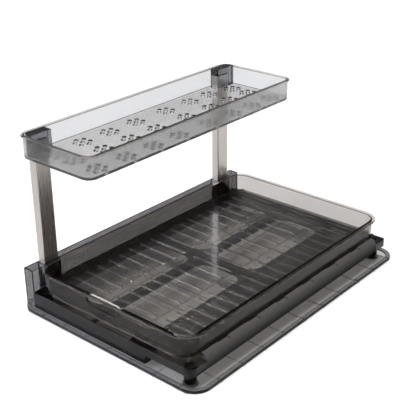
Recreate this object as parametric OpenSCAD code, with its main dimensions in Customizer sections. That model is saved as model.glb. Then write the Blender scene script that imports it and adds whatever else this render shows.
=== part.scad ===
// Two-tier pull-out organiser for a cabinet, in millimetres.
// X points right, Y points back and Z up. The origin is the bottom centre of the drip mat.
// The basket slides out towards the front, along -Y.

/* [Basket] */
// Clear width inside the basket's walls
basket_in_w = 246.7; // [230:0.1:280]
// Clear length inside the basket's walls
basket_in_l = 400; // [380:1:430]
// Height from the basket's underside to the top of its lip
basket_h = 28; // [26:0.5:45]
// Radius of the inside corners, seen from above
basket_corner_r = 20; // [14:0.5:26]
// Thickness of the floor
basket_floor_t = 3; // [2.5:0.1:4]
// Height of the basket's underside over the deck
basket_lift = 5; // [4.6:0.1:7]
// How far the basket's walls run down past its underside
basket_hem_h = 2.6; // [1:0.1:4]
// Number of rows of floor slots
slot_rows = 19; // [9:1:19]
// Mean distance from the basket's ends to the first and the last row of floor slots
slot_margin = 18.2; // [14:0.1:40]
// Width of a floor slot
slot_w = 1.3; // [0.8:0.1:2]
// Length of the finger slot in the front wall
finger_slot_w = 53; // [40:1:70]
// Height of the finger slot
finger_slot_h = 12; // [8:0.5:12]
// Length of the basket that stays over the platform when it is pulled out
basket_stay_l = 100; // [90:5:200]

/* [Walls and lips] */
// Thickness of the basket's and the tray's walls
vessel_wall = 2.2; // [1.8:0.1:2.6]
// Radius of the blend outside, between a wall and the floor
foot_blend_r = 3; // [2.4:0.1:3.4]
// Radius of the blend inside, between a wall and the floor
inner_blend_r = 1.5; // [0.8:0.1:2]
// Width of the basket's lip, from the wall's inner face
basket_lip_w = 6.5; // [5:0.1:6.5]
// Width of the tray's lip, from the wall's inner face
tray_lip_w = 4.5; // [4:0.1:6]
// Thickness of a lip
lip_t = 2.7; // [2:0.1:3.2]

/* [Platform] */
// Height of the deck over the mat's floor
deck_h = 25.2; // [22:0.2:34]
// Thickness of the deck
deck_t = 2.5; // [2:0.1:3]
// Height of the short skirt, from the deck's top down
skirt_h = 11; // [8:0.5:14]
// Thickness of the skirt and the front wall
skirt_t = 2; // [1.6:0.1:2.4]
// Length of the deep front wall, from the rail's outer face
front_wall_l = 209.2; // [206:0.1:215]
// Width of a window in the deck
window_w = 69.5; // [50:0.5:74]
// Width of the deck's strip in front of the front windows
window_front_inset = 30.1; // [29.1:0.1:57]
// Width of the deck's strip behind the back windows
window_back_inset = 39.6; // [39.1:0.1:67]
// Radius of a window's corners
window_r = 17; // [8:0.5:24]
// Distance between the left and the right windows' centres
window_pitch = 86.5; // [80:0.5:92]
// Width of the deck's strip between the front and the back windows
cross_w = 20.5; // [16:0.5:26]
// Radius of the platform's front right corner
front_corner_r = 8.2; // [4:0.1:9]
// Radius of the platform's back right corner
back_corner_r = 3; // [2.5:0.1:6]

/* [Rail and columns] */
// Width of a column, across the rail
column_w = 12.2; // [10:0.1:16]
// Depth of a column, along the rail
column_d = 22.9; // [18:0.1:28]
// Length of a column
column_l = 210.7; // [180:1:280]
// Thickness of a column's metal
column_wall = 1; // [0.8:0.1:1.5]
// Radius of a column's edges
column_edge_r = 1.2; // [1.1:0.1:2]
// Distance from the rail's ends to the columns' centres
column_inset = 34.55; // [34.35:0.05:57]
// Thickness of the rail's walls
rail_wall = 1.3; // [1:0.1:2]
// Height of the column's foot over the mat's floor
column_foot_h = 9.2; // [8:0.2:12]

/* [Side bar] */
// Width of the bar
bar_w = 9.4; // [8.8:0.1:12]
// Radius of the bar's rounded top
bar_round_r = 8.7; // [7:0.1:8.7]
// Thickness of the bar's skin
bar_skin = 1.7; // [1.4:0.1:2]
// Number of clips that are cut free along the bar
clip_count = 6; // [3:1:6]
// Distance from the bar's front end to the first clip's slit
clip_front_inset = 45.5; // [40:0.1:60]
// Distance from the bar's back end to the last clip's slit
clip_back_inset = 37.45; // [20:0.05:60]

/* [Top tray] */
// Clear width inside the tray's walls
tray_in_w = 118.5; // [100:0.5:140]
// How far the tray's clear length runs on in front of the front column's centre
tray_front_run = 17.1; // [16.8:0.1:24]
// How far it runs on behind the back column's centre
tray_back_run = 24.4; // [22:0.1:30]
// Height from the tray's underside to the top of its lip
tray_h = 30.5; // [28:0.1:40]
// Thickness of the tray's floor
tray_floor_t = 3.2; // [2.6:0.1:4]
// Radius of the tray's inside corners, seen from above
tray_corner_r = 12; // [8:0.5:12]
// Radius of one drain hole
drain_hole_r = 3.1; // [2:0.1:3.4]
// Radius of the ring of drain holes
drain_ring_r = 10.4; // [8:0.1:11]
// Depth of a column in its bracket
bracket_grip = 18.3; // [14:0.1:20]

/* [Drip mat] */
// Radius of the mat's corners
mat_corner_r = 23; // [12:0.5:23]
// Thickness of the mat's sheet
mat_sheet_t = 1.8; // [1.2:0.1:3]
// Width of the mat's raised rim
mat_rim_w = 6.5; // [4:0.1:6.5]
// Height of the rim over the sheet
mat_rim_h = 2.4; // [1.5:0.1:5]
// Height of the ribs under the mat
mat_rib_h = 1; // [0.6:0.1:2]
// Width of a rib
mat_rib_w = 1.5; // [1:0.1:3]
// Distance between two ribs that run back to front
mat_rib_pitch_x = 38.7; // [30:0.1:60]
// Distance between two ribs that run left to right
mat_rib_pitch_y = 41.5; // [30:0.1:60]

/* [Feet] */
// Diameter of the boss round a foot's post
boss_d = 15.2; // [14:0.1:15.2]
// Diameter of a foot's button head
button_d = 15; // [12:0.1:15]
// Thickness of a foot's button head
button_t = 1; // [0.6:0.1:1.2]
// Diameter of a foot's post
post_d = 8.8; // [7:0.1:10]
// Diameter of the suction cup's flange
cup_d = 19; // [17:0.5:20]

/* [Hidden] */
$fn = 64;

// Overrun of every cut past the face it opens
cut = 1;
// Play between fixed pieces that slip into each other, on each side
slip = 0.15;
// Play between a screw and its pilot hole, on each side
screw_play = 0.05;
// Play between the runners and what lies over them
glide_play = 0.4;
// Play between the basket's lip and the rail's top
lip_play = 0.3;

// Gaps round the basket: to the rail, to the bar, and from its lip to the platform's ends
basket_gap_left = 3.7;
basket_gap_right = 1.6;
basket_inset_front = 1.4;
basket_inset_back = 0.3;

// Margins of the mat round the platform
mat_margin_left = 8;
mat_margin_right = 13.5;
mat_margin_front = 6.8;
mat_margin_back = 12;

// Plan of the platform
rail_w = column_w + 2 * slip + 2 * rail_wall;
basket_out_w = basket_in_w + 2 * vessel_wall;
frame_w = rail_w + basket_gap_left + basket_out_w + basket_gap_right + bar_w;
frame_l = basket_in_l + 2 * basket_lip_w + basket_inset_front + basket_inset_back;
mat_w = frame_w + mat_margin_left + mat_margin_right;
mat_l = frame_l + mat_margin_front + mat_margin_back;
frame_left = mat_margin_left - mat_w / 2;
frame_right = frame_left + frame_w;
frame_front = mat_margin_front - mat_l / 2;
frame_back = frame_front + frame_l;
frame_mid_y = (frame_front + frame_back) / 2;
deck_left = frame_left + rail_w;
bar_inner = frame_right - bar_w;

// Levels
mat_floor = mat_rib_h + mat_sheet_t;
deck_top = mat_floor + deck_h;
deck_under = deck_top - deck_t;
skirt_foot = deck_top - skirt_h;
basket_under = deck_top + basket_lift;
basket_top = basket_under + basket_h;
rail_top = basket_top - lip_t - lip_play;
// Clearance of the rail, the front wall and the cups to the mat's rim
rim_clearance = 0.3;
rail_foot = mat_floor + mat_rim_h + rim_clearance;
column_foot = mat_floor + column_foot_h;
column_top = column_foot + column_l;
tray_floor_top = column_top - bracket_grip;
tray_under = tray_floor_top - tray_floor_t;
guide_under = basket_under;
bar_top = guide_under + bar_skin;
bar_round_z = bar_top - bar_round_r;
// The deck ends inside the bar's rounded skin
deck_inset = bar_round_r - sqrt(pow(bar_round_r - bar_skin, 2) - pow(deck_top - bar_round_z, 2)) + slip;
deck_right = frame_right - deck_inset;

// Middle of the basket, the columns and the tray
basket_x = deck_left + basket_gap_left + vessel_wall + basket_in_w / 2;
basket_y = frame_front + basket_inset_front + basket_lip_w + basket_in_l / 2;
column_x = frame_left + rail_w / 2;
column_ys = [frame_front + column_inset, frame_back - column_inset];
column_pitch = column_ys[1] - column_ys[0];
tray_x = tray_lip_w - mat_w / 2 + tray_in_w / 2;
tray_in_l = column_pitch + tray_front_run + tray_back_run;
tray_y = frame_mid_y + (tray_back_run - tray_front_run) / 2;

// Windows in the deck: the left pair's middle, counted from the deck's left edge
window_left_inset = 61.6;
window_left_x = deck_left + window_left_inset;
window_xs = [window_left_x, window_left_x + window_pitch];

// Floor slots: middles and lengths of the three columns, as shares of the clear width
slot_middle_shares = [-0.3015, 0.0207, 0.3227];
slot_length_shares = [0.2695, 0.2695, 0.2209];
slot_end_r = 0.9;
slot_pitch = (basket_in_l - 2 * slot_margin) / (slot_rows - 1);
// The rows' middle lies a little off the basket's middle
slot_shift_y = 4.65;

// Finger slot: middle of the cut, from the basket's middle and under its lip
finger_slot_shift = -8.65;
finger_slot_drop = 1.3;
finger_collar_w = 1.4;
finger_collar_proud = 0.7;

// Thin ribs under the basket's floor, as shares of its clear width from its middle
skid_shares = [-0.2114, 0.2568];
skid_w = 1.6;
skid_inset = 30;
skid_play = 0.2;

// Runners under the basket's side walls
runner_body_w = 5.2;
runner_toe = 3.2;
toe_h = basket_lift - glide_play;
runner_front_inset = 32;
runner_back_inset = 2;
lug_reach = 7.3;
lug_l = 10;
lug_h = 2.4;

// Guide lip on the rail
guide_lip_w = 3.1;
guide_inset = 10;

// Bar: its ends, counted from the platform's ends, and its inner parts
bar_inset_front = 26.75;
bar_inset_back = 23.5;
bar_front = frame_front + bar_inset_front;
bar_back = frame_back - bar_inset_back;
bar_l = bar_back - bar_front;
stop_inset = 8;
stop_t = 3;
stop_front_y = bar_front + stop_inset;
stop_face_y = stop_front_y + stop_t;
basket_travel = basket_in_l - basket_stay_l;
lug_front_y = stop_face_y + basket_travel;
clip_slit = 1.2;
clip_reach = 8;
clip_notch_w = 1.4;
clip_l = 17.5;
clip_first_y = bar_front + clip_front_inset;
clip_pitch = (bar_l - clip_front_inset - clip_back_inset) / (clip_count - 1);
hook_reach = 2;
hook_t = 2;
hook_l = 12;

// Rail: end walls, socket walls, and the window that shows the column's foot
rail_end_wall = 2;
socket_wall = 2;
socket_floor_t = 2;
port_w = 14.2;
port_h = 10.4;
port_shift_y = -3.1;
port_lift = 6;
port_foot = deck_top + port_lift;

// Columns' plugs
plug_h = 15;
plug_screw_l = 12;

// Brackets on the columns' tops
bracket_wall = 1.2;
bracket_screw_side = 4.9;
bracket_w = column_w + 2 * (slip + bracket_wall);
bracket_gap = inner_blend_r + slip;
bracket_cap_t = 10;
bracket_edge_r = 1;
bracket_screw_inset = 2.3;
bracket_screw_shift = column_d / 2 + bracket_screw_inset;
bracket_screw_d = 2.2;
bracket_screw_head_d = 4;

// Drain holes: places of the ring's middles, as shares of the tray's clear sizes
drain_y_shares = [-0.4223, -0.2995, -0.1776, -0.0527, 0.0973, 0.2282, 0.336, 0.4438];
drain_x_shares = [-0.305, 0.016, 0.337];
drain_ring_count = 6;
drain_ring_turn = 8;
// The end rings on the brackets' side stand clear of the brackets
drain_end_shift = 9.2;

// Feet: their places along X, and their rows; two front cups stand behind the deep wall
foot_inset_left = 11;
foot_inset_right = 10.7;
foot_mid_share = 0.688;
foot_back_inset = 15.85;
foot_xs = [
    deck_left + foot_inset_left,
    frame_left + foot_mid_share * frame_w,
    frame_right - foot_inset_right
];
foot_front_y = mat_rim_w - mat_l / 2 + rim_clearance + cup_d / 2;
foot_behind_wall_y = frame_front + skirt_t + rim_clearance + cup_d / 2;
foot_back_y = frame_back - foot_back_inset;
foot_places = [
    [foot_xs[0], foot_behind_wall_y],
    [foot_xs[1], foot_behind_wall_y],
    [foot_xs[2], foot_front_y],
    [foot_xs[0], foot_back_y],
    [foot_xs[1], foot_back_y],
    [foot_xs[2], foot_back_y]
];
// Box leg: two walls behind the deep wall, beside the middle front foot
leg_wall_t = 1.6;
leg_wall_l = 18;
leg_play = 0.4;
leg_xs = [foot_xs[1] - cup_d / 2 - leg_play - leg_wall_t, frame_left + front_wall_l - leg_wall_t];
boss_lift = 3.7;
boss_foot = mat_floor + boss_lift;
cup_flange_t = 1.4;
cup_neck_d = 13;
cup_hollow_h = 0.7;
cup_tip_d = 5.8;
cup_tip_l = 1.7;

// Screws
screw_d = 3;
screw_head_d = 6;
screw_head_t = 2;
screw_recess_d = 1.6;
screw_recess_t = 1.2;
rail_screw_inset = 23.5;
rail_screw_mid_share = 0.336;
rail_screw_end = column_pitch / 2 - rail_screw_inset;
rail_screw_mid = rail_screw_mid_share * column_pitch / 2;
rail_screw_ys = [-rail_screw_end, -rail_screw_mid, rail_screw_mid, rail_screw_end];
rail_screw_drop = 9;
rail_screw_l = 9;
rail_boss_d = 7;

// Deck's stiffening ribs
deck_rib_t = 1.6;
deck_rib_h = 5;

// Mat's ribs: shift of the grid from the mat's middle
mat_rib_shift_x = 6.4;
mat_rib_shift_y = -7.9;
mat_rim_round = 1.1;

// Rectangle about the origin with rounded corners
module rounded_rect(w, l, r) {
    square([w - 2 * r, l], center = true);
    square([w, l - 2 * r], center = true);
    for (x = [-1, 1], y = [-1, 1])
        translate([x * (w / 2 - r), y * (l / 2 - r)]) circle(r);
}

// Sweeps a profile round a rounded rectangle; the profile's X points outwards from its edge
module swept_round(w, l, r) {
    for (turn = [0, 180]) rotate(turn) {
        translate([w / 2, l / 2 - r, 0]) rotate([90, 0, 0]) linear_extrude(l - 2 * r) children();
        rotate(90) translate([l / 2, w / 2 - r, 0]) rotate([90, 0, 0])
            linear_extrude(w - 2 * r) children();
        translate([w / 2 - r, l / 2 - r, 0]) rotate_extrude(angle = 90) translate([r, 0]) children();
        translate([r - w / 2, l / 2 - r, 0]) rotate(90)
            rotate_extrude(angle = 90) translate([r, 0]) children();
    }
}

// Profile of a vessel's wall: blended foot, straight wall, lip with a round edge
module wall_profile(h, floor_t, lip_w) {
    translate([0, foot_blend_r]) square([vessel_wall, h - foot_blend_r]);
    intersection() {
        translate([vessel_wall - foot_blend_r, foot_blend_r]) circle(foot_blend_r);
        translate([vessel_wall - foot_blend_r, 0]) square(foot_blend_r);
    }
    difference() {
        translate([-inner_blend_r, floor_t]) square(inner_blend_r);
        translate([-inner_blend_r, floor_t + inner_blend_r]) circle(inner_blend_r);
    }
    translate([0, h - lip_t]) square([lip_w - lip_t / 2, lip_t]);
    translate([lip_w - lip_t / 2, h - lip_t / 2]) circle(lip_t / 2);
}

// Open vessel with a lip; the children are cut out of its floor's plan
module vessel(w, l, h, r, floor_t, lip_w) {
    swept_round(w, l, r) wall_profile(h, floor_t, lip_w);
    inset = foot_blend_r - vessel_wall;
    linear_extrude(floor_t) difference() {
        rounded_rect(w - 2 * inset, l - 2 * inset, r - inset);
        children();
    }
}

// Screw along +Z with its head's underside at zero and a round recess in its head
module screw(l, d = screw_d, head_d = screw_head_d) {
    cylinder(d = d, h = l);
    translate([0, 0, -screw_head_t]) difference() {
        cylinder(d = head_d, h = screw_head_t);
        translate([0, 0, -cut]) cylinder(d = screw_recess_d, h = screw_recess_t + cut);
    }
}

// Drip mat: sheet with a raised rim, and a grid of ribs under it
module mat_rim_profile() {
    rim_t = mat_sheet_t + mat_rim_h;
    translate([-mat_rim_w, 0]) square([mat_rim_w, rim_t - mat_rim_round]);
    translate([mat_rim_round - mat_rim_w, 0]) square([mat_rim_w - 2 * mat_rim_round, rim_t]);
    for (x = [mat_rim_round - mat_rim_w, -mat_rim_round])
        translate([x, rim_t - mat_rim_round]) circle(mat_rim_round);
}

module mat_ribs() {
    side_x = ceil(mat_w / 2 / mat_rib_pitch_x);
    side_y = ceil(mat_l / 2 / mat_rib_pitch_y);
    for (i = [-side_x:side_x])
        translate([mat_rib_shift_x + i * mat_rib_pitch_x, 0])
            square([mat_rib_w, mat_l], center = true);
    for (i = [-side_y:side_y])
        translate([0, mat_rib_shift_y + i * mat_rib_pitch_y])
            square([mat_w, mat_rib_w], center = true);
}

module drip_mat() {
    color([0.55, 0.55, 0.54, 0.7]) {
        translate([0, 0, mat_rib_h]) {
            linear_extrude(mat_sheet_t)
                rounded_rect(mat_w - 2 * mat_rim_w, mat_l - 2 * mat_rim_w, mat_corner_r - mat_rim_w);
            swept_round(mat_w, mat_l, mat_corner_r) mat_rim_profile();
        }
        linear_extrude(mat_rib_h) intersection() {
            rounded_rect(mat_w, mat_l, mat_corner_r);
            mat_ribs();
        }
    }
}

// Plan of the platform, drawn in by inset on every side
module frame_plan(inset = 0) {
    left = deck_left + inset;
    right = frame_right - inset;
    front = frame_front + inset;
    back = frame_back - inset;
    r_front = front_corner_r - inset;
    r_back = back_corner_r - inset;
    translate([left, front]) square([right - left - front_corner_r + inset, back - front]);
    translate([left, front + r_front]) square([right - left, back - front - r_front - r_back]);
    translate([right - r_front, front + r_front]) circle(r_front);
    translate([right - r_back, back - r_back]) circle(r_back);
    translate([right - front_corner_r, back - back_corner_r])
        square([front_corner_r - back_corner_r, back_corner_r - inset]);
}

// Strip along the right edge that the side bar takes
module bar_strip(depth) {
    translate([frame_right - depth, bar_front]) square([depth + cut, bar_l]);
}

module windows() {
    front_l = frame_l / 2 - cross_w / 2 - window_front_inset;
    back_l = frame_l / 2 - cross_w / 2 - window_back_inset;
    for (x = window_xs) {
        translate([x, frame_front + window_front_inset + front_l / 2])
            rounded_rect(window_w, front_l, window_r);
        translate([x, frame_back - window_back_inset - back_l / 2])
            rounded_rect(window_w, back_l, window_r);
    }
}

module at_feet() {
    for (place = foot_places) translate(place) children();
}

module rail_screw_places() {
    for (y = rail_screw_ys) translate([0, frame_mid_y + y, deck_top - rail_screw_drop]) children();
}

module base_frame() {
    wall_l = front_wall_l - rail_w;
    rib_x = window_left_x + window_pitch / 2;
    color([0.18, 0.17, 0.16, 0.8]) difference() {
        union() {
            translate([0, 0, deck_under]) linear_extrude(deck_t) difference() {
                frame_plan();
                bar_strip(deck_inset);
                windows();
            }
            translate([0, 0, skirt_foot]) linear_extrude(skirt_h - deck_t) difference() {
                frame_plan();
                frame_plan(skirt_t);
                bar_strip(deck_inset + hook_reach + slip);
            }
            translate([deck_left, frame_front, rail_foot])
                cube([wall_l, skirt_t, skirt_foot - rail_foot]);
            for (x = leg_xs) translate([x, frame_front + skirt_t, rail_foot])
                cube([leg_wall_t, leg_wall_l, deck_under - rail_foot]);
            translate([rib_x - deck_rib_t / 2, frame_front + skirt_t, deck_under - deck_rib_h])
                cube([deck_rib_t, frame_l - 2 * skirt_t, deck_rib_h]);
            translate([deck_left + skirt_t, frame_mid_y - deck_rib_t / 2, deck_under - deck_rib_h])
                cube([frame_w - rail_w - bar_w - skirt_t, deck_rib_t, deck_rib_h]);
            at_feet() translate([0, 0, boss_foot]) cylinder(d = boss_d, h = deck_under - boss_foot);
        }
        at_feet() {
            translate([0, 0, boss_foot - cut])
                cylinder(d = post_d + 2 * slip, h = deck_top - boss_foot + 2 * cut);
            translate([0, 0, deck_top - button_t])
                cylinder(d = button_d + 2 * slip, h = button_t + cut);
        }
        rail_screw_places() translate([deck_left - cut, 0, 0]) rotate([0, 90, 0])
            cylinder(d = screw_d + 2 * screw_play, h = skirt_t + 2 * cut);
    }
}

// Rail: hollow from below, with a socket and a port for each column and a guide lip inside
module column_rail() {
    inner_w = rail_w - 2 * rail_wall;
    socket_l = column_d + 2 * slip + 2 * socket_wall;
    color([0.2, 0.19, 0.18, 0.85]) difference() {
        union() {
            difference() {
                translate([frame_left, frame_front, rail_foot])
                    cube([rail_w, frame_l, rail_top - rail_foot]);
                translate([frame_left + rail_wall, frame_front + rail_end_wall, rail_foot - cut])
                    cube([inner_w, frame_l - 2 * rail_end_wall, rail_top - rail_wall - rail_foot + cut]);
            }
            for (y = column_ys)
                translate([frame_left, y - socket_l / 2, column_foot - socket_floor_t])
                    cube([rail_w, socket_l, rail_top - column_foot + socket_floor_t]);
            translate([deck_left, frame_front + guide_inset, guide_under])
                cube([guide_lip_w, frame_l - 2 * guide_inset, bar_skin]);
            rail_screw_places() translate([deck_left - rail_screw_l, 0, 0]) rotate([0, 90, 0])
                cylinder(d = rail_boss_d, h = rail_screw_l);
        }
        for (y = column_ys) {
            translate([column_x, y, column_foot]) linear_extrude(rail_top - column_foot + cut)
                rounded_rect(column_w + 2 * slip, column_d + 2 * slip, column_edge_r + slip);
            translate([column_x, y, column_foot - socket_floor_t - cut])
                cylinder(d = screw_d + 2 * screw_play, h = socket_floor_t + 2 * cut);
            translate([column_x, y + port_shift_y - port_w / 2, port_foot])
                cube([rail_w, port_w, port_h]);
        }
        rail_screw_places() translate([deck_left - rail_screw_l - cut, 0, 0]) rotate([0, 90, 0])
            cylinder(d = screw_d + 2 * screw_play, h = rail_screw_l + 2 * cut);
    }
}

// Profile of the side bar's skin, seen from the front with its outer face at zero
module bar_profile() {
    difference() {
        union() {
            translate([-bar_round_r, bar_round_z]) circle(bar_round_r);
            translate([-bar_round_r, skirt_foot]) square([bar_round_r, bar_round_z - skirt_foot]);
        }
        translate([-bar_round_r, bar_round_z]) circle(bar_round_r - bar_skin);
        translate([-2 * bar_round_r - cut, skirt_foot - cut])
            square([bar_round_r + cut, bar_top - skirt_foot + 2 * cut]);
        translate([-bar_round_r - cut, skirt_foot - cut])
            square([bar_round_r - bar_skin + cut, bar_round_z - skirt_foot + cut]);
    }
    translate([-bar_w, bar_top - bar_skin]) square([bar_w - bar_round_r, bar_skin]);
}

// Wall across the bar over the deck, open where the runner's toe runs through
module bar_wall() {
    toe_way = runner_toe - basket_gap_right + glide_play;
    intersection() {
        translate([-bar_round_r, bar_round_z]) circle(bar_round_r);
        translate([toe_way - bar_w, deck_top]) square([bar_w, bar_top - deck_top]);
    }
    translate([toe_way - bar_w, deck_top]) square([bar_w - toe_way - bar_skin, guide_under - deck_top]);
}

// Stands a profile in X and Z up and runs it along Y from y0 for a length
module along_y(x, y0, l) {
    translate([x, y0 + l, 0]) rotate([90, 0, 0]) linear_extrude(l) children();
}

// Cuts that free the clips: a slit across the bar, and a notch along its inner edge
module clip_cuts() {
    for (i = [0:clip_count - 1]) translate([
        bar_inner - cut,
        clip_first_y + i * clip_pitch,
        bar_top - bar_skin - cut
    ]) {
        translate([0, -clip_slit / 2, 0]) cube([clip_reach + cut, clip_slit, bar_skin + 2 * cut]);
        translate([0, -clip_l, 0]) cube([clip_notch_w + cut, clip_l, bar_skin + 2 * cut]);
    }
}

module side_bar() {
    color([0.1, 0.1, 0.1, 0.95]) {
        difference() {
            along_y(frame_right, bar_front, bar_l) bar_profile();
            clip_cuts();
        }
        for (y = [bar_front, bar_back - bar_skin]) along_y(frame_right, y, bar_skin) bar_wall();
        along_y(frame_right, stop_front_y, stop_t) bar_wall();
        for (i = [0:clip_count - 1]) translate([
            deck_right - hook_reach,
            clip_first_y + i * clip_pitch - clip_l / 2 - hook_l / 2,
            deck_under - hook_t
        ]) cube([hook_reach + deck_inset - bar_skin / 2, hook_l, hook_t]);
    }
}

// Three columns of drain slots with round ends, in the basket's own plan
module floor_slots() {
    for (row = [0:slot_rows - 1], k = [0:len(slot_middle_shares) - 1]) {
        l = slot_length_shares[k] * basket_in_w;
        y = slot_shift_y + (row - (slot_rows - 1) / 2) * slot_pitch;
        translate([slot_middle_shares[k] * basket_in_w, y]) {
            square([l, slot_w], center = true);
            for (side = [-1, 1]) translate([side * l / 2, 0]) circle(slot_end_r);
        }
    }
}

// Runner under one side wall; X points outwards from the basket's middle
module runner(lug) {
    wall_face = basket_out_w / 2;
    front = runner_front_inset - basket_in_l / 2;
    back = basket_in_l / 2 - runner_back_inset;
    translate([wall_face - runner_body_w, front, -basket_lift])
        cube([runner_body_w + runner_toe, back - front, toe_h]);
    translate([wall_face - runner_body_w, front, -basket_lift])
        cube([runner_body_w - foot_blend_r, back - front, basket_lift + basket_floor_t / 2]);
    if (lug) translate([wall_face, lug_front_y - basket_y, -basket_lift]) cube([lug_reach, lug_l, lug_h]);
}

// Outline of the finger slot, grown on every side, in the front wall's plane
module finger_outline(grow = 0) {
    r = finger_slot_h / 2;
    half = finger_slot_w / 2 - r;
    for (side = [-1, 1]) translate([side * half, 0]) circle(r + grow);
    square([2 * half, 2 * (r + grow)], center = true);
}

module at_finger_slot(y) {
    z = basket_h - lip_t - finger_slot_drop - finger_slot_h / 2;
    translate([finger_slot_shift, y, z]) rotate([90, 0, 0]) children();
}

module basket() {
    front_face = -basket_in_l / 2 - vessel_wall;
    color([0.35, 0.34, 0.32, 0.55]) translate([basket_x, basket_y, basket_under]) difference() {
        union() {
            vessel(basket_in_w, basket_in_l, basket_h, basket_corner_r, basket_floor_t, basket_lip_w)
                floor_slots();
            swept_round(basket_in_w, basket_in_l, basket_corner_r) translate([0, -basket_hem_h])
                square([vessel_wall, basket_hem_h + 2 * foot_blend_r]);
            at_finger_slot(front_face + finger_collar_proud) linear_extrude(2 * finger_collar_proud)
                finger_outline(finger_collar_w);
            runner(true);
            mirror([1, 0, 0]) runner(false);
            for (share = skid_shares) translate([
                share * basket_in_w - skid_w / 2,
                skid_inset - basket_in_l / 2,
                skid_play - basket_lift
            ]) cube([skid_w, basket_in_l - 2 * skid_inset, basket_lift - skid_play]);
        }
        at_finger_slot(front_face + vessel_wall + cut)
            linear_extrude(vessel_wall + finger_collar_proud + 2 * cut) finger_outline();
    }
}

// One flower of drain holes: a hole in the middle and a ring round it
module drain_flower() {
    circle(drain_hole_r);
    for (i = [0:drain_ring_count - 1])
        rotate(drain_ring_turn + i * 360 / drain_ring_count)
            translate([drain_ring_r, 0]) circle(drain_hole_r);
}

module tray_floor_cuts() {
    last = len(drain_y_shares) - 1;
    for (i = [0:last], k = [0:len(drain_x_shares) - 1]) {
        at_bracket = (i == 0 || i == last) && k == 0;
        translate([
            drain_x_shares[k] * tray_in_w + (at_bracket ? drain_end_shift : 0),
            drain_y_shares[i] * tray_in_l
        ]) drain_flower();
    }
    for (y = column_ys) translate([column_x - tray_x, y - tray_y])
        rounded_rect(column_w + 2 * slip, column_d + 2 * slip, column_edge_r + slip);
    for (y = column_ys) translate([column_x - tray_x, y + bracket_screw_shift - tray_y])
        circle(bracket_screw_d / 2 + screw_play);
}

module top_tray() {
    color([0.6, 0.6, 0.58, 0.45]) translate([tray_x, tray_y, tray_under])
        vessel(tray_in_w, tray_in_l, tray_h, tray_corner_r, tray_floor_t, tray_lip_w)
            tray_floor_cuts();
}

// Columns: square tubes with rounded edges
module column(y) {
    color([0.78, 0.75, 0.72]) translate([column_x, y, column_foot]) linear_extrude(column_l) difference() {
        rounded_rect(column_w, column_d, column_edge_r);
        square([column_w - 2 * column_wall, column_d - 2 * column_wall], center = true);
    }
}

module column_front() { column(column_ys[0]); }
module column_back() { column(column_ys[1]); }

// Plug that closes a column's foot and takes its screw
module column_plug(y) {
    w = column_w - 2 * column_wall - 2 * screw_play;
    d = column_d - 2 * column_wall - 2 * screw_play;
    color([0.12, 0.12, 0.12]) translate([column_x, y, column_foot]) difference() {
        linear_extrude(plug_h) square([w, d], center = true);
        translate([0, 0, -cut]) cylinder(d = screw_d + 2 * screw_play, h = plug_screw_l + cut);
    }
}

module column_plug_front() { column_plug(column_ys[0]); }
module column_plug_back() { column_plug(column_ys[1]); }

// Bracket over a column's top, between two places along Y; a screw holds it from below
module tray_bracket(y, front, back) {
    color([0.16, 0.16, 0.16, 0.9]) difference() {
        translate([0, 0, tray_floor_top]) linear_extrude(bracket_grip + bracket_cap_t) intersection() {
            translate([column_x, (front + back) / 2])
                rounded_rect(bracket_w, back - front, bracket_edge_r);
            translate([tray_x, tray_y]) rounded_rect(
                tray_in_w - 2 * bracket_gap, tray_in_l - 2 * bracket_gap, tray_corner_r - bracket_gap
            );
        }
        translate([column_x, y, tray_floor_top - cut]) linear_extrude(bracket_grip + cut)
            rounded_rect(column_w + 2 * slip, column_d + 2 * slip, column_edge_r + slip);
        translate([column_x, y + bracket_screw_shift, tray_floor_top - cut])
            cylinder(d = bracket_screw_d + 2 * screw_play, h = bracket_grip + cut);
    }
}

module tray_bracket_front() {
    y = column_ys[0];
    tray_bracket(y, tray_y - tray_in_l / 2 + bracket_gap, y + column_d / 2 + bracket_screw_side);
}

module tray_bracket_back() {
    y = column_ys[1];
    tray_bracket(y, y - column_d / 2 - slip - bracket_wall, tray_y + tray_in_l / 2 - bracket_gap);
}

module column_screws() {
    color([0.7, 0.7, 0.7]) for (y = column_ys)
        translate([column_x, y, column_foot - socket_floor_t]) screw(socket_floor_t + plug_screw_l);
}

module bracket_screws() {
    color([0.7, 0.7, 0.7]) for (y = column_ys)
        translate([column_x, y + bracket_screw_shift, tray_under])
            screw(tray_floor_t + bracket_grip - bracket_screw_d, bracket_screw_d, bracket_screw_head_d);
}

module rail_screws() {
    color([0.7, 0.7, 0.7]) rail_screw_places() translate([deck_left + skirt_t, 0, 0])
        rotate([0, -90, 0]) screw(skirt_t + rail_screw_l - rail_wall);
}

// Foot: a button-headed post through the boss, with a soft cup under it
module foot_post(i) {
    color([0.12, 0.12, 0.12]) translate(foot_places[i]) {
        translate([0, 0, deck_top - button_t]) cylinder(d = button_d, h = button_t);
        translate([0, 0, boss_foot]) cylinder(d = post_d, h = deck_top - boss_foot);
        translate([0, 0, boss_foot - cup_tip_l]) cylinder(d = cup_tip_d, h = cup_tip_l);
    }
}

module suction_cup(i) {
    neck_h = boss_foot - mat_floor;
    color([0.25, 0.24, 0.23, 0.8]) translate([0, 0, mat_floor]) translate(foot_places[i]) rotate_extrude() {
        bore_r = cup_tip_d / 2 + screw_play;
        polygon([
            [0, cup_hollow_h],
            [cup_d / 2 - cup_hollow_h, 0],
            [cup_d / 2, 0],
            [cup_neck_d / 2, cup_flange_t],
            [cup_neck_d / 2, neck_h],
            [bore_r, neck_h],
            [bore_r, neck_h - cup_tip_l],
            [0, neck_h - cup_tip_l]
        ]);
    }
}

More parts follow.
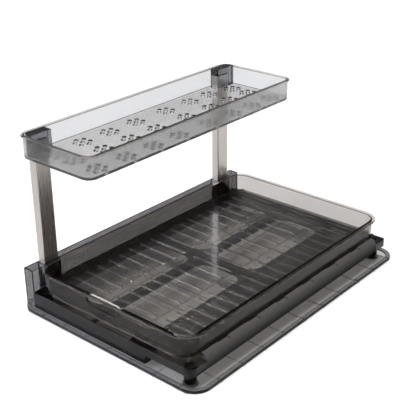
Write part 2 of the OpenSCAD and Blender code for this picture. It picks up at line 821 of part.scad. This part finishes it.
module foot_post_front_left() { foot_post(0); }
module foot_post_front_middle() { foot_post(1); }
module foot_post_front_right() { foot_post(2); }
module foot_post_back_left() { foot_post(3); }
module foot_post_back_middle() { foot_post(4); }
module foot_post_back_right() { foot_post(5); }
module suction_cup_front_left() { suction_cup(0); }
module suction_cup_front_middle() { suction_cup(1); }
module suction_cup_front_right() { suction_cup(2); }
module suction_cup_back_left() { suction_cup(3); }
module suction_cup_back_middle() { suction_cup(4); }
module suction_cup_back_right() { suction_cup(5); }

drip_mat();
base_frame();
column_rail();
side_bar();
basket();
top_tray();
column_front();
column_back();
column_plug_front();
column_plug_back();
tray_bracket_front();
tray_bracket_back();
column_screws();
bracket_screws();
rail_screws();
foot_post_front_left();
foot_post_front_middle();
foot_post_front_right();
foot_post_back_left();
foot_post_back_middle();
foot_post_back_right();
suction_cup_front_left();
suction_cup_front_middle();
suction_cup_front_right();
suction_cup_back_left();
suction_cup_back_middle();
suction_cup_back_right();
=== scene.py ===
import math

import bpy
from mathutils import Matrix, Vector

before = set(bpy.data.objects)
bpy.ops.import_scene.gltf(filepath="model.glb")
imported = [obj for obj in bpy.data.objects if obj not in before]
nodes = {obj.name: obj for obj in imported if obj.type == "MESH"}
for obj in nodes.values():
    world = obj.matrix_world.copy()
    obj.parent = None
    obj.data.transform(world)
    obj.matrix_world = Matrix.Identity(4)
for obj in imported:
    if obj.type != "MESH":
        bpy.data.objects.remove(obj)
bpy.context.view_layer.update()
print("frame loaded with", len(nodes), "nodes")

scene = bpy.context.scene
scene.view_settings.view_transform = "Standard"
scene.cycles.max_bounces = 28          # clear walls stand behind clear walls
scene.cycles.transmission_bounces = 28
scene.cycles.glossy_bounces = 8
scene.cycles.transparent_max_bounces = 32
scene.cycles.sample_clamp_indirect = 4


# Camera

cameraPlace = {
    "position": (0.6691, -0.8098, 0.6025),
    "azimuth": 40.725,      # degrees, from looking along +Y
    "elevation": 26.069,
    "roll": -0.44,
    "lens": 76.99,
    "shift": (0.0169, 0.0327),
    "sensor": 36,           # mm, as the lens
    "clip": (0.02, 50),     # m
}


# the azimuth and elevation give the vector from the object to the camera, the roll a turn about it
def placeCamera(place):
    azimuth, elevation, roll = (math.radians(place[k]) for k in ("azimuth", "elevation", "roll"))
    ahead = Vector((math.sin(azimuth), -math.cos(azimuth), 0)) * math.cos(elevation)
    back = ahead + Vector((0, 0, math.sin(elevation)))
    right = (-back).cross(Vector((0, 0, 1))).normalized()
    up = back.cross(right)
    rolledRight = right * math.cos(roll) + up * math.sin(roll)
    rolledUp = up * math.cos(roll) - right * math.sin(roll)
    camera = bpy.data.objects.new("camera", bpy.data.cameras.new("camera"))
    turn = Matrix((rolledRight, rolledUp, back)).transposed()
    camera.matrix_world = Matrix.Translation(place["position"]) @ turn.to_4x4()
    camera.data.lens = place["lens"]
    camera.data.sensor_width = place["sensor"]
    camera.data.shift_x, camera.data.shift_y = place["shift"]
    camera.data.clip_start, camera.data.clip_end = place["clip"]
    scene.collection.objects.link(camera)
    scene.camera = camera


placeCamera(cameraPlace)
print("camera placed")


# Small helpers for node trees

def addNode(tree, kind, **values):
    node = tree.nodes.new(kind)
    for key, value in values.items():
        setattr(node, key, value)
    return node


def setInputs(node, **values):
    for key, value in values.items():
        node.inputs[key.replace("_", " ")].default_value = value
    return node


def mathNode(tree, operation, a, b=None, clamp=False):
    node = addNode(tree, "ShaderNodeMath", operation=operation, use_clamp=clamp)
    for socket, value in zip(node.inputs, (a, b)):
        if isinstance(value, (int, float)):
            socket.default_value = value
        elif value is not None:
            tree.links.new(value, socket)
    return node.outputs[0]


def mixColor(tree, factor, a, b):
    node = addNode(tree, "ShaderNodeMix", data_type="RGBA")
    for socket, value in zip((node.inputs[0], node.inputs[6], node.inputs[7]), (factor, a, b)):
        if isinstance(value, bpy.types.NodeSocket):
            tree.links.new(value, socket)
        elif socket is node.inputs[0]:
            socket.default_value = value
        else:
            socket.default_value = (*value, 1)
    return node.outputs[2]


def mixValue(tree, factor, a, b):
    node = addNode(tree, "ShaderNodeMix", data_type="FLOAT")
    for socket, value in zip((node.inputs[0], node.inputs[2], node.inputs[3]), (factor, a, b)):
        if isinstance(value, bpy.types.NodeSocket):
            tree.links.new(value, socket)
        else:
            socket.default_value = value
    return node.outputs[0]


# a value from 0 to 1 made a swing about nothing
def swing(tree, value, amount):
    return mathNode(tree, "MULTIPLY", mathNode(tree, "SUBTRACT", value, 0.5), amount)


# a colour with its brightness times the given value
def shaded(tree, color, value):
    node = addNode(tree, "ShaderNodeHueSaturation")
    tree.links.new(color, node.inputs["Color"])
    tree.links.new(value, node.inputs["Value"])
    return node.outputs[0]


# a node group with float or vector inputs, given as name: default, and float outputs
def newGroup(name, inputs, outputs):
    tree = bpy.data.node_groups.new(name, "ShaderNodeTree")
    for key, value in inputs.items():
        kind = "NodeSocketVector" if value is None else "NodeSocketFloat"
        socket = tree.interface.new_socket(key, in_out="INPUT", socket_type=kind)
        if value is not None:
            socket.default_value = value
    for key in outputs:
        tree.interface.new_socket(key, in_out="OUTPUT", socket_type="NodeSocketFloat")
    return tree, tree.nodes.new("NodeGroupInput"), tree.nodes.new("NodeGroupOutput")


def placeGroup(tree, group, vector, **values):
    node = addNode(tree, "ShaderNodeGroup", node_tree=group)
    tree.links.new(vector, node.inputs["Vector"])
    return setInputs(node, **values)


def newMaterial(name):
    material = bpy.data.materials.new(name)
    material.use_nodes = True
    material.node_tree.nodes.clear()
    return material, material.node_tree


bumpDepth = 0.00005  # m


def addBump(tree, height, strength, shader):
    bump = addNode(tree, "ShaderNodeBump")
    setInputs(bump, Strength=strength, Distance=bumpDepth)
    tree.links.new(height, bump.inputs["Height"])
    tree.links.new(bump.outputs[0], shader.inputs["Normal"])


# Shared effects

grainLook = {"fineDetail": 2.0, "fineRough": 0.55, "cloudDetail": 3.0, "cloudRough": 0.5}


# fine satin grain of a spark-eroded mould: small noise for the height, slow cloudy drifts for the finish
def makeMouldGrain(look):
    inputs = {"Vector": None, "Scale": 1500.0, "Cloud Scale": 14.0}
    tree, start, end = newGroup("mouldGrain", inputs, ("Height", "Cloud"))
    for layer, scale, result in (("fine", "Scale", "Height"), ("cloud", "Cloud Scale", "Cloud")):
        noise = addNode(tree, "ShaderNodeTexNoise", noise_dimensions="3D")
        setInputs(noise, Detail=look[layer + "Detail"], Roughness=look[layer + "Rough"])
        tree.links.new(start.outputs["Vector"], noise.inputs["Vector"])
        tree.links.new(start.outputs[scale], noise.inputs["Scale"])
        tree.links.new(noise.outputs[0], end.inputs[result])
    return tree


# the least share of the normal along Z, X and Y
faceLook = {"level": 0.6, "sideways": 0.3, "lengthways": 0.95}


# one for each part of a moulding that looks different, told by its height: the floor's top and bottom
# faces, the upright edges (within Side of the middle and behind Front, and only those that look along X where
# Along X is 1), the edges that look along Y, which carry a painted glint, the foot and the lip
def makeZones(look):
    lows = dict.fromkeys(("Floor Low", "Floor Top", "Edge Low", "Edge High", "Foot Top"), 0.0)
    inputs = {"Vector": None, **lows, "Lip Low": 9.0, "Along X": 0.0, "Side": 9.0, "Front": -9.0}
    tree, start, end = newGroup("zones", inputs, ("Floor", "Edge", "PaintedGlint", "Foot", "Lip"))
    place = addNode(tree, "ShaderNodeSeparateXYZ")
    tree.links.new(start.outputs["Vector"], place.inputs[0])
    face = addNode(tree, "ShaderNodeSeparateXYZ")
    tree.links.new(addNode(tree, "ShaderNodeNewGeometry").outputs["Normal"], face.inputs[0])

    def over(height):
        return mathNode(tree, "GREATER_THAN", place.outputs["Z"], start.outputs[height])

    def under(height):
        return mathNode(tree, "LESS_THAN", place.outputs["Z"], start.outputs[height])

    def both(a, b):
        return mathNode(tree, "MULTIPLY", a, b)

    def faces(axis, least):
        return mathNode(tree, "GREATER_THAN", mathNode(tree, "ABSOLUTE", face.outputs[axis]), least)

    level = faces("Z", look["level"])
    sideways = faces("X", look["sideways"])
    lengthways = faces("Y", look["lengthways"])
    upright = mixValue(tree, start.outputs["Along X"], mathNode(tree, "SUBTRACT", 1.0, level), sideways)
    inside = mathNode(tree, "LESS_THAN", mathNode(tree, "ABSOLUTE", place.outputs["X"]), start.outputs["Side"])
    behind = mathNode(tree, "GREATER_THAN", place.outputs["Y"], start.outputs["Front"])
    edges = both(both(inside, behind), both(over("Edge Low"), under("Edge High")))
    tree.links.new(both(level, both(over("Floor Low"), under("Floor Top"))), end.inputs["Floor"])
    tree.links.new(both(upright, edges), end.inputs["Edge"])
    tree.links.new(both(lengthways, edges), end.inputs["PaintedGlint"])
    tree.links.new(under("Foot Top"), end.inputs["Foot"])
    tree.links.new(over("Lip Low"), end.inputs["Lip"])
    return tree


# each layer: how far it is drawn out along Z, how fine it is across, and its share of the height
brushLook = {"layers": ((0.012, 1.0, 0.6), (0.03, 2.6, 0.4)), "detail": 3.0, "roughness": 0.6}


# long scratches along Z: noise squeezed across the piece and drawn out along it, in a coarse and a fine layer
def makeBrushing(look):
    tree, start, end = newGroup("brushing", {"Vector": None, "Scale": 900.0}, ("Height", "Shade"))
    noises, heights = [], []
    for stretch, fineness, share in look["layers"]:
        squeeze = addNode(tree, "ShaderNodeVectorMath", operation="MULTIPLY")
        tree.links.new(start.outputs["Vector"], squeeze.inputs[0])
        squeeze.inputs[1].default_value = (fineness, fineness, stretch)
        noise = addNode(tree, "ShaderNodeTexNoise", noise_dimensions="3D")
        setInputs(noise, Detail=look["detail"], Roughness=look["roughness"])
        tree.links.new(squeeze.outputs[0], noise.inputs["Vector"])
        tree.links.new(start.outputs["Scale"], noise.inputs["Scale"])
        noises.append(noise.outputs[0])
        heights.append(mathNode(tree, "MULTIPLY", noise.outputs[0], share))
    tree.links.new(mathNode(tree, "ADD", *heights), end.inputs["Height"])
    tree.links.new(noises[0], end.inputs["Shade"])
    return tree


mouldGrain = makeMouldGrain(grainLook)
zones = makeZones(faceLook)
brushing = makeBrushing(brushLook)
print("shared effects made")


# Clear and smoky plastic

# tinted moulded plastic, darker where it is thicker; its floor may be glossier and more frosted than its walls,
# and lamps shine through it; painted shade darkens its upright edges, painted shading darkens or lightens its
# foot, and a painted glint makes the walls of its slots glow
def clearPlastic(name, look):
    material, tree = newMaterial(name)
    place = addNode(tree, "ShaderNodeTexCoord").outputs["Object"]
    grain = placeGroup(tree, mouldGrain, place, Scale=look["grainScale"], Cloud_Scale=look["cloudScale"])
    parts = placeGroup(tree, zones, place, **look.get("zones", {}))
    floor = parts.outputs["Floor"]
    shader = addNode(tree, "ShaderNodeBsdfPrincipled")
    setInputs(shader, Transmission_Weight=1.0, Specular_IOR_Level=look["specular"], IOR=look["ior"])
    if "floorGloss" in look:
        tree.links.new(mathNode(tree, "MULTIPLY", floor, look["floorGloss"]), shader.inputs["Coat Weight"])
        setInputs(shader, Coat_Roughness=look["glossRough"])
    # a painted glint: the walls of the slots glow faintly, as if they caught light
    if "paintedGlint" in look:
        glow = mixColor(tree, parts.outputs["PaintedGlint"], (0.0, 0.0, 0.0), look["paintedGlint"])
        tree.links.new(glow, shader.inputs["Emission Color"])
        setInputs(shader, Emission_Strength=1.0)

    tint = mixColor(tree, floor, look["wallTint"], look.get("floorTint", look["wallTint"]))
    # painted shade on the upright edges and painted shading on the foot; the lip's tint is the plastic's own
    for zone, key in (("Edge", "edgeShade"), ("Foot", "footShading"), ("Lip", "lipTint")):
        if key in look:
            tint = mixColor(tree, parts.outputs[zone], tint, look[key])
    cloudy = swing(tree, grain.outputs["Cloud"], look["cloudTint"])
    specks = swing(tree, grain.outputs["Height"], look["speckTint"])
    drift = mathNode(tree, "ADD", mathNode(tree, "ADD", cloudy, specks), 1.0)
    tree.links.new(shaded(tree, tint, drift), shader.inputs["Base Color"])
    rough = mixValue(tree, floor, look["wallRough"], look.get("floorRough", look["wallRough"]))
    uneven = swing(tree, grain.outputs["Cloud"], look["cloudRough"])
    tree.links.new(mathNode(tree, "ADD", rough, uneven, clamp=True), shader.inputs["Roughness"])
    addBump(tree, grain.outputs["Height"], look["bump"], shader)

    passing = addNode(tree, "ShaderNodeBsdfTransparent")
    passing.inputs["Color"].default_value = (*look["lampTint"], 1)
    path = addNode(tree, "ShaderNodeLightPath")
    lamps = mathNode(tree, "MAXIMUM", path.outputs["Is Shadow Ray"], path.outputs["Is Diffuse Ray"])
    surface = addNode(tree, "ShaderNodeMixShader")
    tree.links.new(lamps, surface.inputs[0])
    tree.links.new(shader.outputs[0], surface.inputs[1])
    tree.links.new(passing.outputs[0], surface.inputs[2])
    absorb = addNode(tree, "ShaderNodeVolumeAbsorption")
    absorb.inputs["Color"].default_value = (*look["smoke"], 1)
    absorb.inputs["Density"].default_value = look["density"]
    out = addNode(tree, "ShaderNodeOutputMaterial")
    tree.links.new(surface.outputs[0], out.inputs["Surface"])
    tree.links.new(absorb.outputs[0], out.inputs["Volume"])
    return material


# the zones' heights are in metres; the density is per metre, and one less the smoke's colour is what it takes
# away; the lamp's tint is what a lamp's light keeps at each face; what a look leaves out is as on the walls
trayLook = {
    "zones": {
        "Floor_Low": 0.2030, "Floor_Top": 0.2047, "Edge_Low": 0.2034, "Edge_High": 0.2045, "Lip_Low": 0.2290,
    },
    # the edge shade is painted shade, nearly black, on the upright faces within the floor: the walls of the
    # drain holes
    "wallTint": (0.71, 0.71, 0.70), "floorTint": (0.69, 0.68, 0.67), "edgeShade": (0.02, 0.02, 0.02),
    "lipTint": (0.66, 0.63, 0.59),
    "wallRough": 0.2, "floorRough": 0.08, "cloudRough": 0.05, "cloudTint": 0.05, "cloudScale": 12.0,
    "grainScale": 700.0, "bump": 0.25, "speckTint": 0.12, "ior": 1.3, "specular": 0.5,
    "floorGloss": 0.3, "glossRough": 0.1,
    "lampTint": (0.92, 0.92, 0.92), "smoke": (0.42, 0.40, 0.37), "density": 75.0,
}
basketLook = {
    "zones": {
        "Floor_Low": 0.0345, "Floor_Top": 0.0363, "Edge_Low": 0.0329, "Edge_High": 0.0361, "Along_X": 1.0,
        "Side": 0.114, "Front": -0.19, "Foot_Top": 0.0318, "Lip_Low": 0.0583,
    },
    "paintedGlint": (0.045, 0.045, 0.045),  # painted glint: a faint glow on the walls of the slots, in place of light they catch
    # the edge shade is painted shade, black, on the ends of the slots in the floor
    "wallTint": (0.52, 0.495, 0.47), "floorTint": (0.47, 0.445, 0.42), "edgeShade": (0.0, 0.0, 0.0),
    # the foot shading is painted light, so that the dark gap under the basket reads thin
    "footShading": (0.85, 0.83, 0.81), "lipTint": (0.7, 0.66, 0.62),
    "wallRough": 0.03, "floorRough": 0.1, "cloudRough": 0.03, "cloudTint": 0.06, "cloudScale": 10.0,
    "grainScale": 700.0, "bump": 0.08, "speckTint": 0.06, "ior": 1.2, "specular": 0.14,
    "floorGloss": 1.0, "glossRough": 0.27,
    "lampTint": (0.95, 0.95, 0.94), "smoke": (0.43, 0.39, 0.35), "density": 75.0,
}
matLook = {
    "zones": {"Edge_Low": 0.0011, "Edge_High": 0.0060, "Foot_Top": 0.00095, "Lip_Low": 0.0035},
    # the edge shade is painted shade, nearly black, on the upright walls of the rim
    "wallTint": (0.95, 0.95, 0.94), "edgeShade": (0.03, 0.03, 0.03),
    # the foot shading is painted shade on the feet of the ribs and the bottom of the rim
    "footShading": (0.5, 0.49, 0.48), "lipTint": (0.2, 0.195, 0.19),
    "wallRough": 0.03, "cloudRough": 0.02, "cloudTint": 0.04, "cloudScale": 9.0,
    "grainScale": 900.0, "bump": 0.1, "speckTint": 0.05, "ior": 1.3, "specular": 0.4,
    "lampTint": (0.96, 0.96, 0.96), "smoke": (0.42, 0.41, 0.39), "density": 125.0,
}
frameLook = {
    "zones": {"Foot_Top": 0.0254},
    # the foot shading is painted shade, nearly black, on the skirt and legs below the deck
    "wallTint": (0.62, 0.60, 0.575), "footShading": (0.08, 0.078, 0.075),
    "wallRough": 0.12, "cloudRough": 0.04, "cloudTint": 0.08, "cloudScale": 9.0,
    "grainScale": 900.0, "bump": 0.2, "speckTint": 0.06, "ior": 1.3, "specular": 0.4,
    "lampTint": (0.66, 0.66, 0.66), "smoke": (0.42, 0.40, 0.37), "density": 680.0,
}
railLook = {
    "wallTint": (0.9, 0.9, 0.92),
    "wallRough": 0.12, "cloudRough": 0.03, "cloudTint": 0.05, "cloudScale": 8.0,
    "grainScale": 900.0, "bump": 0.2, "speckTint": 0.05, "ior": 1.46, "specular": 0.4,
    "lampTint": (0.4, 0.4, 0.4), "smoke": (0.42, 0.41, 0.40), "density": 820.0,
}
bracketLook = {
    "wallTint": (0.93, 0.94, 0.96),
    "wallRough": 0.06, "cloudRough": 0.03, "cloudTint": 0.04, "cloudScale": 20.0,
    "grainScale": 900.0, "bump": 0.1, "speckTint": 0.05, "ior": 1.46, "specular": 0.5,
    "lampTint": (0.8, 0.8, 0.8), "smoke": (0.42, 0.43, 0.45), "density": 150.0,
}
postLook = {
    "wallTint": (0.7, 0.68, 0.66),
    "wallRough": 0.1, "cloudRough": 0.03, "cloudTint": 0.06, "cloudScale": 60.0,
    "grainScale": 900.0, "bump": 0.15, "speckTint": 0.05, "ior": 1.42, "specular": 0.4,
    "lampTint": (0.5, 0.5, 0.5), "smoke": (0.42, 0.40, 0.37), "density": 150.0,
}
cupLook = {
    "wallTint": (0.8, 0.78, 0.76),
    "wallRough": 0.25, "cloudRough": 0.05, "cloudTint": 0.1, "cloudScale": 40.0,
    "grainScale": 900.0, "bump": 0.2, "speckTint": 0.08, "ior": 1.42, "specular": 0.4,
    "lampTint": (0.5, 0.5, 0.5), "smoke": (0.42, 0.39, 0.36), "density": 600.0,
}


# Solid plastic and metal

# opaque moulded plastic, or metal where metallic is 1: grain for the height, clouds or scratches for the
# finish; a piece may carry painted shade, darkening towards its foot and black on the walls of the cuts at its
# top
def solidMaterial(name, look):
    material, tree = newMaterial(name)
    place = addNode(tree, "ShaderNodeTexCoord").outputs["Object"]
    shader = addNode(tree, "ShaderNodeBsdfPrincipled")
    setInputs(shader, Metallic=look["metallic"], Specular_IOR_Level=look["specular"])
    if "cloudScale" in look:
        marks = placeGroup(tree, mouldGrain, place, Scale=look["scale"], Cloud_Scale=look["cloudScale"])
        drift = marks.outputs["Cloud"]
    else:
        marks = placeGroup(tree, brushing, place, Scale=look["scale"])
        drift = marks.outputs["Shade"]
    color = mixColor(tree, drift, look["dark"], look["light"])
    # painted shade: black on the upright faces near the top, the walls of the cuts, and darker towards the foot
    if "shadeShare" in look:
        height = addNode(tree, "ShaderNodeSeparateXYZ")
        tree.links.new(place, height.inputs[0])
        cuts = placeGroup(tree, zones, place, Edge_Low=look["cutShadeLow"], Edge_High=look["top"])
        color = mixColor(tree, cuts.outputs["Edge"], color, (0.0, 0.0, 0.0))
        lowShade = addNode(tree, "ShaderNodeMapRange", interpolation_type="SMOOTHSTEP")
        setInputs(lowShade, From_Min=look["shadeLow"], From_Max=look["top"], To_Min=look["shadeShare"])
        tree.links.new(height.outputs["Z"], lowShade.inputs["Value"])
        color = shaded(tree, color, lowShade.outputs[0])
    tree.links.new(color, shader.inputs["Base Color"])
    tree.links.new(mixValue(tree, drift, look["smooth"], look["rough"]), shader.inputs["Roughness"])
    addBump(tree, marks.outputs["Height"], look["bump"], shader)
    out = addNode(tree, "ShaderNodeOutputMaterial")
    tree.links.new(shader.outputs[0], out.inputs["Surface"])
    return material


columnLook = {
    "dark": (0.40, 0.37, 0.34), "light": (0.52, 0.48, 0.44), "smooth": 0.22, "rough": 0.34, "metallic": 1.0,
    "specular": 0.5, "scale": 900.0, "bump": 0.25,
}
screwLook = {
    "dark": (0.45, 0.45, 0.46), "light": (0.62, 0.62, 0.63), "smooth": 0.25, "rough": 0.4, "metallic": 1.0,
    "specular": 0.5, "scale": 2400.0, "cloudScale": 300.0, "bump": 0.2,
}
barLook = {
    "dark": (0.095, 0.092, 0.089), "light": (0.118, 0.115, 0.110), "smooth": 0.35, "rough": 0.45,
    "metallic": 0.0, "specular": 0.0, "scale": 1500.0, "cloudScale": 14.0, "bump": 0.3,
    # painted shade: the colour darkens from the top down to a tenth at 12 mm, and the walls of the cuts go
    # black
    "shadeLow": 0.012, "top": 0.0345, "shadeShare": 0.1, "cutShadeLow": 0.0328,
}
plugLook = {
    "dark": (0.010, 0.010, 0.010), "light": (0.020, 0.019, 0.018), "smooth": 0.35, "rough": 0.5,
    "metallic": 0.0, "specular": 0.5, "scale": 1500.0, "cloudScale": 60.0, "bump": 0.3,
}

finishes = {
    "drip_mat": clearPlastic("matSmoke", matLook),
    "base_frame": clearPlastic("frameSmoke", frameLook),
    "column_rail": clearPlastic("railSmoke", railLook),
    "side_bar": solidMaterial("barBlack", barLook),
    "basket": clearPlastic("basketSmoke", basketLook),
    "top_tray": clearPlastic("trayClear", trayLook),
    "column": solidMaterial("brushedSteel", columnLook),
    "column_plug": solidMaterial("plugBlack", plugLook),
    "tray_bracket": clearPlastic("bracketSmoke", bracketLook),
    "screws": solidMaterial("screwSteel", screwLook),
    "foot_post": clearPlastic("postSmoke", postLook),
    "suction_cup": clearPlastic("cupSmoke", cupLook),
}


# the finish named by the whole node, by its first words, or by its last word
def finishOf(name):
    for key in sorted(finishes, key=len, reverse=True):
        if name == key or name.startswith(key + "_") or name.endswith("_" + key):
            return finishes[key]
    raise KeyError(name)


for name, obj in nodes.items():
    obj.data.materials.clear()
    obj.data.materials.append(finishOf(name))
print("finishes set on every node")


# Floor, sky and lamps

floorLook = {"half": 6.0, "color": (0.9, 0.9, 0.9), "glow": 0.1, "glowThrough": 0.06}


# a pale floor; a little glow brings it to white for the camera, less so through clear plastic, and its colour
# keeps the shadow
def makeFloor(look):
    half = look["half"]
    mesh = bpy.data.meshes.new("floor")
    corners = [(-half, -half, 0), (half, -half, 0), (half, half, 0), (-half, half, 0)]
    mesh.from_pydata(corners, [], [(0, 1, 2, 3)])
    floor = bpy.data.objects.new("floor", mesh)
    scene.collection.objects.link(floor)
    material, tree = newMaterial("paleFloor")
    matt = addNode(tree, "ShaderNodeBsdfDiffuse")
    matt.inputs["Color"].default_value = (*look["color"], 1)
    glow = addNode(tree, "ShaderNodeEmission")
    path = addNode(tree, "ShaderNodeLightPath")
    straight = mathNode(tree, "MULTIPLY", path.outputs["Is Camera Ray"], look["glow"])
    through = mathNode(tree, "MULTIPLY", path.outputs["Is Transmission Ray"], look["glowThrough"])
    tree.links.new(mathNode(tree, "MAXIMUM", straight, through), glow.inputs["Strength"])
    both = addNode(tree, "ShaderNodeAddShader")
    tree.links.new(matt.outputs[0], both.inputs[0])
    tree.links.new(glow.outputs[0], both.inputs[1])
    out = addNode(tree, "ShaderNodeOutputMaterial")
    tree.links.new(both.outputs[0], out.inputs["Surface"])
    mesh.materials.append(material)


skyLook = {
    "backdrop": (0.97, 0.97, 0.97),
    "low": (0.2, 0.2, 0.205), "high": (0.45, 0.45, 0.46), "lowHeight": 0.5, "highHeight": 0.95,
    "panelAt": (-0.58, -0.69, 0.44), "panelEdge": (0.93, 0.975), "panel": (6.6, 6.9, 8.1),
}


# a studio round the object: dim walls, a paler ceiling and a bluish light panel at the front left, which shows
# where the direction lies close enough to the panel's; the camera sees a pale backdrop instead
def makeSky(look):
    world = bpy.data.worlds.new("studio")
    scene.world = world
    world.use_nodes = True
    tree = world.node_tree
    tree.nodes.clear()
    direction = addNode(tree, "ShaderNodeTexCoord").outputs["Generated"]
    split = addNode(tree, "ShaderNodeSeparateXYZ")
    tree.links.new(direction, split.inputs[0])
    rise = addNode(tree, "ShaderNodeMapRange", interpolation_type="SMOOTHSTEP")
    setInputs(rise, From_Min=look["lowHeight"], From_Max=look["highHeight"])
    tree.links.new(split.outputs["Z"], rise.inputs["Value"])
    toward = addNode(tree, "ShaderNodeVectorMath", operation="DOT_PRODUCT")
    tree.links.new(direction, toward.inputs[0])
    toward.inputs[1].default_value = Vector(look["panelAt"]).normalized()
    glare = addNode(tree, "ShaderNodeMapRange", interpolation_type="SMOOTHSTEP")
    near, full = look["panelEdge"]
    setInputs(glare, From_Min=near, From_Max=full)
    tree.links.new(toward.outputs["Value"], glare.inputs["Value"])
    walls = mixColor(tree, rise.outputs[0], look["low"], look["high"])
    lights = mixColor(tree, glare.outputs[0], walls, look["panel"])
    seen = addNode(tree, "ShaderNodeLightPath").outputs["Is Camera Ray"]
    back = addNode(tree, "ShaderNodeBackground")
    tree.links.new(mixColor(tree, seen, lights, look["backdrop"]), back.inputs["Color"])
    out = addNode(tree, "ShaderNodeOutputWorld")
    tree.links.new(back.outputs[0], out.inputs["Surface"])


lampLook = {"lean": (0.2, -0.1), "spread": 32.0, "strength": 2.5}  # the spread in degrees


# a wide soft lamp far above and to the left, so that it lights the whole floor evenly
def makeLamp(look):
    light = bpy.data.lights.new("skyLamp", "SUN")
    light.angle = math.radians(look["spread"])
    light.energy = look["strength"]
    lamp = bpy.data.objects.new("skyLamp", light)
    lamp.rotation_euler = Vector((*look["lean"], -1)).to_track_quat("-Z", "Y").to_euler()
    scene.collection.objects.link(lamp)


makeFloor(floorLook)
makeSky(skyLook)
makeLamp(lampLook)
print("floor, sky and lamp made")
